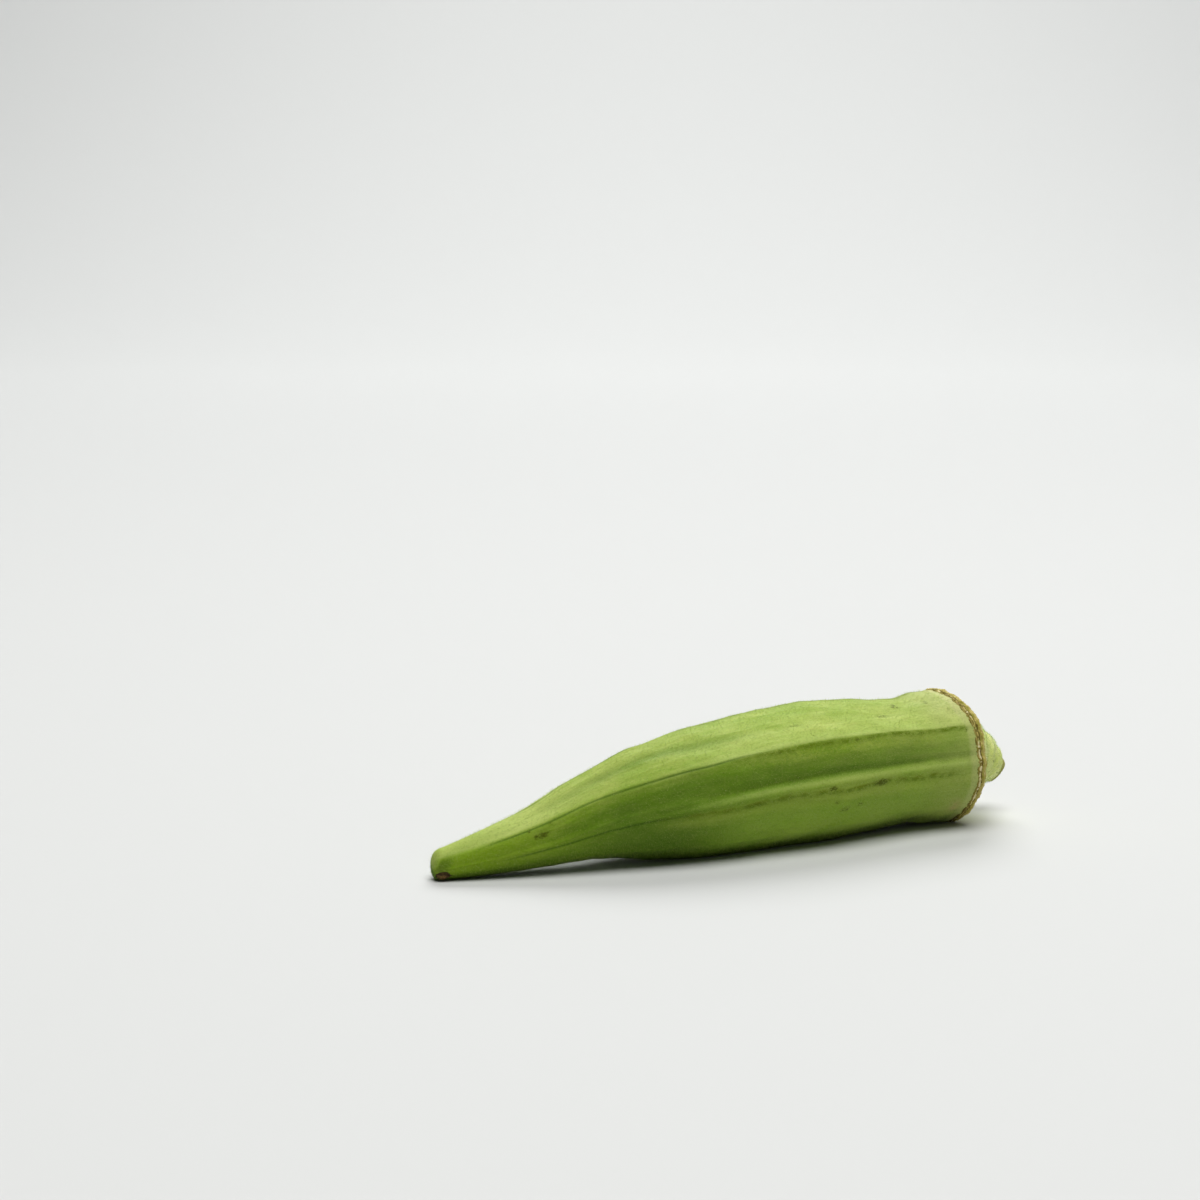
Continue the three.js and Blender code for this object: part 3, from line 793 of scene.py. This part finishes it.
def makeRingScar():
    angles = evenAngles(ring["columns"])
    ahead, lift = alongProfile(ring["profile"], ring["rows"], closed=True)
    outside = ease(lift, *ring["buried"])
    stray = ripples(0, angles, [ring["wander"]])[None, :] * outside
    lumps = ripples(ahead, angles[None, :], ring["lumps"], ring["lumpWaves"])
    along = shape["length"] + ahead[:, 0]
    onPod = np.minimum(along, shape["length"])
    radius = podRadius(onPod, angles)[0] + lift + lumps * outside
    points = skinPoints(spineFrame(onPod), radius, angles, ribTwist(onPod), (along - onPod)[:, None] + stray)
    masks = {}
    for name in ("beads", "band", "line"):
        middle, half = ring[name]
        masks[name] = hump(ahead - middle, half) * outside
    # painted shadow along the pod side of the scar, weakest on top, darker and wider where the scar turns
    # down
    top, (edgeStart, edgeEnd, widens) = ring["edgeTop"], ring["podEdgeShadow"]
    facing = ease(-np.sin(np.radians(angles + ring["edgeTurn"])), *ring["edgeFacing"])[None, :]
    below = top + (1 - top) * facing
    least, more = ring["edgeTint"]
    edge = 1 - ease(ahead, edgeStart, edgeEnd + widens * (below - top))
    masks["podEdgeShadow"] = edge * (least + more * below)
    piece = closedBand("ring_scar", inFrame(points), masks)
    dress(piece, ringScarFinish(), "scar_cork")


def ringScarFinish():
    cork = newMaterial("ring scar", Roughness=0.75, Specular_IOR_Level=0.3)

    def pattern(name):
        return noise(cork, *ring[name])

    def cut(value, name):
        return between(cork, value, *ring[name])

    grain = pattern("grain")
    mottled = cut(pattern("mottling"), "mottlingRange")
    worn = timesPlus(cork, cut(pattern("wear"), "wearRange"), *ring["wornGaps"])
    gaps = times(cork, cut(pattern("gaps"), "gapsRange"), worn)
    ragged = timesPlus(cork, grain, *ring["raggedness"])
    bead = timesPlus(cork, meshValue(cork, "beads"), gaps, ragged)
    band = calculate(cork, "ADD", meshValue(cork, "band"), ragged)
    line = calculate(cork, "ADD", meshValue(cork, "line"), ragged)
    colour = layered(cork, ring, "olive", [
        (mottled, "tan"), (cut(band, "tanBand"), "tan"),
        (times(cork, cut(band, "creamBand"), mottled), "cream"),
        (times(cork, cut(meshValue(cork, "beads"), "beadShade"), ring["beadShadeTint"]), "brown"),
        (cut(bead, "tanBeads"), "tan"), (cut(bead, "creamBeads"), "cream"), (cut(line, "darkLine"), "brown"),
        # the painted shadow on the pod side
        (meshValue(cork, "podEdgeShadow"), "brown"),
    ])
    return paint(cork, colour, bumps(cork, grain, *ring["grained"]))


makeRingScar()


cutFace = {
    "profile": [  # share of the stalk's radius, height over the cut
        (0.9, -0.6), (1.00, -0.4), (1.03, -0.12), (1.01, 0.06), (0.95, 0.12), (0.88, 0.08), (0.8, -0.05),
        (0.74, -0.04), (0.66, 0.03), (0.45, 0.07), (0.2, 0.09), (0.01, 0.09),
    ],
    "rows": 60, "columns": 180,
    "lumps": [(0.03, 1.4, 9, 41), (0.022, 0.5, 40, 42)], "lumpWaves": 20, "lumpsOver": (-0.5, 0),
    "outOfRound": (0.05, 1, 5, 43), "outOfRoundOver": (0.3, 0.9),
    "ragged": (0.7,), "fine": (0.25, 1, 3, 0.6), "raggedness": (0.22, -0.11), "grained": (0.07, 0.6),
    "shadeRange": (0.45, 0.75), "ringRange": (0.6, 0.7), "brownedRange": (0.76, 0.84),
    "rindRange": (0.92, 1.0),
    "rind": (0.33, 0.33, 0.09, 1), "browned": (0.23, 0.12, 0.04, 1), "ring": (0.43, 0.26, 0.13, 1),
    "pith": (0.72, 0.64, 0.42, 1), "shade": (0.56, 0.45, 0.25, 1),
}


def makeCutFace():
    angles = evenAngles(cutFace["columns"])
    share, height = alongProfile(cutFace["profile"], cutFace["rows"])
    last, stalkRadius = cap["outline"][-1]
    lumps = ripples(share * stalkRadius, angles[None, :], cutFace["lumps"], cutFace["lumpWaves"])
    uneven = ripples(0, angles, [cutFace["outOfRound"]])[None, :]
    uneven = uneven * ease(share, *cutFace["outOfRoundOver"])
    leaning = cap["slant"] * np.sin(np.radians(angles))[None, :] * share + height
    leaning = leaning + lumps * ease(height, *cutFace["lumpsOver"])
    places = capFrame(np.full(len(share), last))
    points = skinPoints(places, share * stalkRadius * (1 + uneven), angles, np.zeros(len(share)), leaning)
    ends = [places[0][0] + places[1][0] * cutFace["profile"][k][1] for k in (0, -1)]
    piece = closedSkin("cut_face", inFrame(points), inFrame(ends[0]), inFrame(ends[1]), {"share": share})
    dress(piece, cutFaceFinish(), "stalk_pith")


def cutFaceFinish():
    pith = newMaterial("cut stalk", Roughness=0.7, Specular_IOR_Level=0.3,
                       Subsurface_Weight=0.15, Subsurface_Scale=0.0008, Subsurface_Radius=(1.0, 0.7, 0.4))
    ragged = timesPlus(pith, noise(pith, *cutFace["ragged"]), *cutFace["raggedness"])
    out = calculate(pith, "ADD", meshValue(pith, "share"), ragged)
    fine = noise(pith, *cutFace["fine"])
    layers = [(between(pith, fine, *cutFace["shadeRange"]), "shade")]
    layers += [(between(pith, out, *cutFace[name + "Range"]), name) for name in ("ring", "browned", "rind")]
    return paint(pith, layered(pith, cutFace, "pith", layers), bumps(pith, fine, *cutFace["grained"]))


makeCutFace()


scar = {
    "from": (-0.75, 1.95, -1.5),  # forward, side and up from the middle of the beak
    "length": 1.35, "width": 0.95, "thickness": 0.2, "sunk": 0.25, "sunkLess": 0.3,
    "outOfRound": (0.09, 1, 11, 51), "crusted": (0.25, 0.6, 9, 52),
    "rings": 16, "firstRing": 0.05, "columns": 72,
    "grain": (0.35, 1, 3, 0.6), "wear": (1.4, -0.6), "wornRange": (0.25, 0.65), "grained": (0.08, 0.7),
    "crust": (0.045, 0.024, 0.004, 1), "tan": (0.24, 0.15, 0.045, 1),
}


def makeBeakScar():  # a small dry crust where the flower was
    middle, forward, side, up = (part[0] for part in spineFrame(np.array([0.0])))
    back, aside, raised = scar["from"]
    outward = forward * back + side * aside + up * raised
    centre = inFrame(middle + outward)
    outward = unit(outward)
    across = unit(np.cross((0, 0, 1), outward))
    tilted = np.cross(outward, across)
    turns = evenAngles(scar["columns"])
    angles = np.radians(turns)
    edge = 1 + ripples(0, turns, [scar["outOfRound"]])
    shares = np.linspace(scar["firstRing"], 1, scar["rings"])
    skin = BVHTree.FromPolygons([vertex.co / mm for vertex in podPiece.data.vertices],
                                [tuple(face.vertices) for face in podPiece.data.polygons])
    over, under = [], []
    for share in shares:
        crusted = 1 - scar["crusted"][0] + ripples(share, turns, [scar["crusted"]])
        height = scar["thickness"] * (1 - share ** 4) * crusted
        flat = (centre + across * (np.cos(angles) * edge * share * scar["length"])[:, None]
                + tilted * (np.sin(angles) * edge * share * scar["width"])[:, None])
        hits = [skin.find_nearest(place) for place in flat]
        places, normals = (np.array([hit[k] for hit in hits]) for k in (0, 1))
        over.append(places + normals * height[:, None])
        under.append(places - normals * scar["sunk"] * (1 - scar["sunkLess"] * share))
    points = np.concatenate([over, under[::-1]])
    points[..., 2] = np.maximum(points[..., 2], 0)
    share = np.concatenate([shares, shares[::-1]])[:, None]
    piece = closedSkin("beak_scar", points, points[0].mean(0), points[-1].mean(0), {"share": share})
    dress(piece, beakScarFinish(), "scar_cork")


def beakScarFinish():
    crust = newMaterial("beak scar", Roughness=0.8, Specular_IOR_Level=0.25)
    grain = noise(crust, *scar["grain"])
    grainWear, edgeWear = scar["wear"]
    worn = timesPlus(crust, grain, grainWear, times(crust, meshValue(crust, "share"), edgeWear))
    colour = layered(crust, scar, "crust", [(between(crust, worn, *scar["wornRange"]), "tan")])
    return paint(crust, colour, bumps(crust, grain, *scar["grained"]))


makeBeakScar()


fuzz = {
    "length": (0.22, 0.55), "root": 0.015, "sunk": 0.04, "lean": 0.75, "leanSpread": 0.5,
    "offFloor": 0.05, "tipOffFloor": 0.01,
    "onPod": (46000, -2.0, 92.6, 61), "onCap": (12000, 94.7, 105.6, 62),  # hairs, first and last place, seed
    "colour": (0.48, 0.59, 0.16, 1),
}


def makeFuzz(name, skinPiece, count, first, last, seed):  # short pointed hairs growing from a skin
    mesh = skinPiece.data
    mesh.calc_loop_triangles()
    places = np.empty(len(mesh.vertices) * 3)
    mesh.vertices.foreach_get("co", places)
    corners = np.empty(len(mesh.loop_triangles) * 3, np.int32)
    mesh.loop_triangles.foreach_get("vertices", corners)
    triangles = (places.reshape(-1, 3) / mm)[corners].reshape(-1, 3, 3)
    crossed = np.cross(triangles[:, 1] - triangles[:, 0], triangles[:, 2] - triangles[:, 0])
    size = np.linalg.norm(crossed, axis=1)
    middle = triangles.mean(1)
    along = middle[:, 0] - start[0]
    size[(along < first) | (along > last) | (middle[:, 2] < fuzz["offFloor"])] = 0
    rng = np.random.default_rng(seed)
    picked = rng.choice(len(size), count, p=size / size.sum())
    u, v = rng.random((2, count, 1))
    u, v = np.where(u + v > 1, 1 - u, u), np.where(u + v > 1, 1 - v, v)
    corner = triangles[picked]
    root = corner[:, 0] + u * (corner[:, 1] - corner[:, 0]) + v * (corner[:, 2] - corner[:, 0])
    normal = crossed[picked] / size[picked][:, None]
    way = unit(normal + fuzz["lean"] * rng.normal(0, fuzz["leanSpread"], (count, 3)))
    aside = unit(np.cross(way, rng.normal(0, 1, (count, 3))))
    other = np.cross(way, aside)
    tip = root + way * rng.uniform(*fuzz["length"], (count, 1))
    tip[:, 2] = np.maximum(tip[:, 2], fuzz["tipOffFloor"])
    foot = root - normal * fuzz["sunk"]
    spikes = [foot + fuzz["root"] * (aside * math.cos(turn) + other * math.sin(turn))
              for turn in (0, 2 * math.pi / 3, 4 * math.pi / 3)] + [tip]
    vertices = np.stack(spikes, 1).reshape(-1, 3)
    vertices[:, 2] = np.maximum(vertices[:, 2], 0)
    base = np.arange(count)[:, None, None] * 4
    faces = (base + np.array([(0, 1, 3), (1, 2, 3), (2, 0, 3), (2, 1, 0)])).reshape(-1, 3).tolist()
    dress(makeObject(name, vertices, faces), fuzzFinish, "pod_fuzz")


fuzzFinish = newMaterial("fuzz", Base_Color=fuzz["colour"], Roughness=0.6, Specular_IOR_Level=0.25)
makeFuzz("pod_fuzz", podPiece, *fuzz["onPod"])
makeFuzz("cap_fuzz", capPiece, *fuzz["onCap"])


studio = {
    "floor": (0.62, 0.63, 0.62, 1),
    "back": 1.3, "sideways": 4.0, "front": 1.2, "sweep": 0.9, "wall": 3.0,  # metres from the pod
    "sweepSteps": 24,
    "world": (0.95, 0.98, 1.0, 1), "worldStrength": 0.065,
    "lights": [  # name, place, size, power, colour
        ("overhead", (0.05, -0.27, 1.33), 1.1, 17.2, (1.0, 0.99, 0.98)),
        ("backdrop light", (0.9, 1.5, 1.6), 1.5, 39.0, (1.0, 1.0, 1.0)),
    ],
}


def makeFloor():  # one sheet that sweeps up behind
    heading = math.radians(cameraPlace["heading"])
    away = np.array([math.sin(heading), math.cos(heading), 0])
    across = np.array([math.cos(heading), -math.sin(heading), 0])
    sweep = studio["sweep"]
    profile = [(-studio["front"], 0), (studio["back"], 0)]
    profile += [(studio["back"] + sweep * math.sin(turn), sweep * (1 - math.cos(turn)))
                for turn in np.linspace(0, math.pi / 2, studio["sweepSteps"] + 1)[1:]]
    profile.append((profile[-1][0], studio["wall"]))
    vertices = [away * far + across * aside + np.array([0, 0, height])
                for far, height in profile for aside in (-studio["sideways"], studio["sideways"])]
    faces = [(2 * k, 2 * k + 1, 2 * k + 3, 2 * k + 2) for k in range(len(profile) - 1)]
    floor = makeObject("floor", np.array(vertices) / mm, faces)
    paper = newMaterial("pale floor", Base_Color=studio["floor"], Roughness=0.75, Specular_IOR_Level=0.25)
    floor.data.materials.append(paper)


def placeLights():
    for name, place, size, power, colour in studio["lights"]:
        data = bpy.data.lights.new(name, "AREA")
        data.shape, data.size, data.energy, data.color = "DISK", size, power, colour
        light = bpy.data.objects.new(name, data)
        bpy.context.scene.collection.objects.link(light)
        light.location = place
        light.rotation_euler = (-Vector(place)).to_track_quat("-Z", "Y").to_euler()
    world = bpy.data.worlds.new("room light")
    world.use_nodes = True
    background = world.node_tree.nodes["Background"]
    background.inputs["Color"].default_value = studio["world"]
    background.inputs["Strength"].default_value = studio["worldStrength"]
    bpy.context.scene.world = world
    bpy.context.scene.view_settings.view_transform = "Standard"


makeFloor()
placeLights()
print("floor and lights placed")
